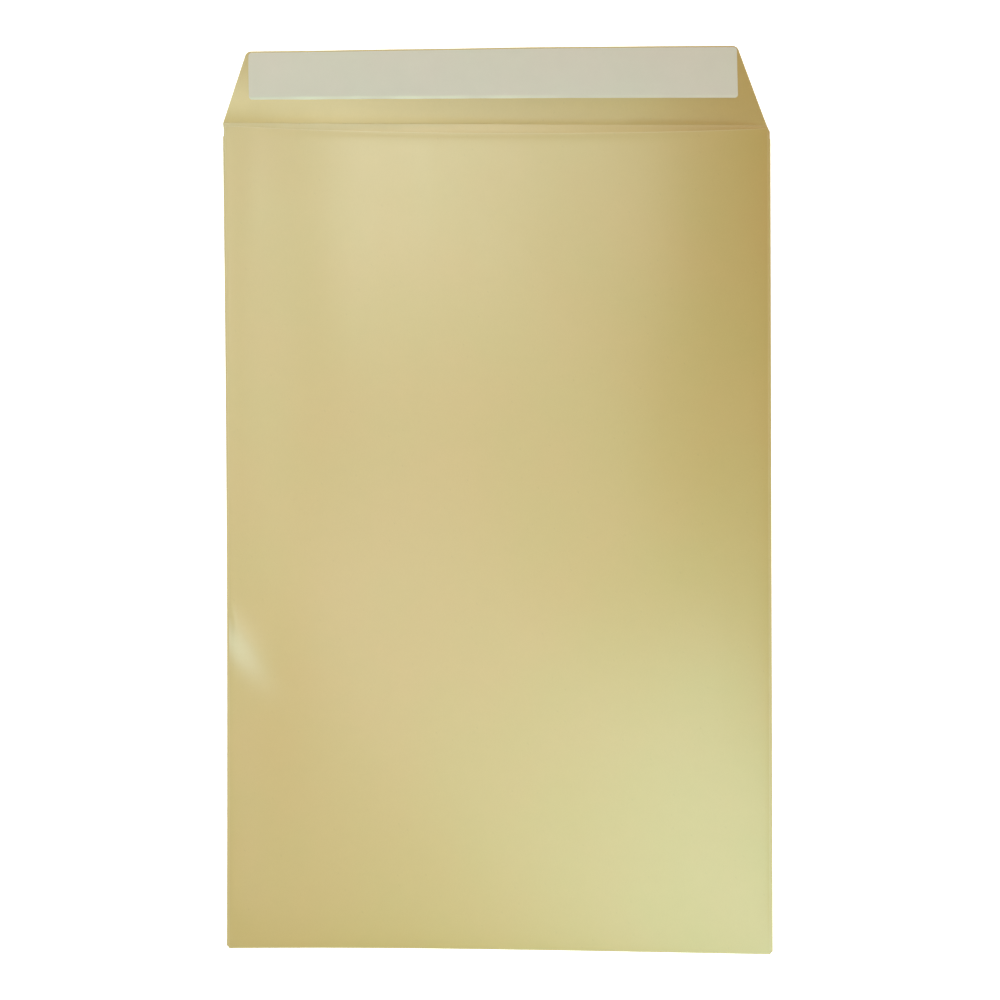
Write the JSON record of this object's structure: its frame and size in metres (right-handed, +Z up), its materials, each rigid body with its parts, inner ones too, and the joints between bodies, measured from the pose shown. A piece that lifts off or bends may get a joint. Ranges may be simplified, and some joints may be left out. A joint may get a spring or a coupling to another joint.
{
  "type": "paper envelope",
  "caption": "Open kraft paper pocket envelope with glued side seams, a seal flap on its short side and a peel-off strip over its adhesive.",
  "frame": {"origin": "middle of the footprint, on the surface that the front panel rests on", "axes": "+X across the envelope, +Y from the bottom fold to the open seal flap, +Z up, out of the back panel"},
  "size_m": [0.254, 0.418, 0.0163],
  "materials": {
    "kraft_paper": "machine-glazed, satin, faint grain across the width",
    "seam_gum": "dried gum, dull",
    "seal_adhesive": "clear tacky film, glossy",
    "release_liner": "silicone-coated glassine paper, satin"
  },
  "bodies": {
    "root": {"envelope_sheet": "kraft_paper", "seam_gum_left": "seam_gum", "seam_gum_right": "seam_gum", "seal_adhesive": "seal_adhesive", "release_liner": "release_liner"}
  },
  "joints": []
}
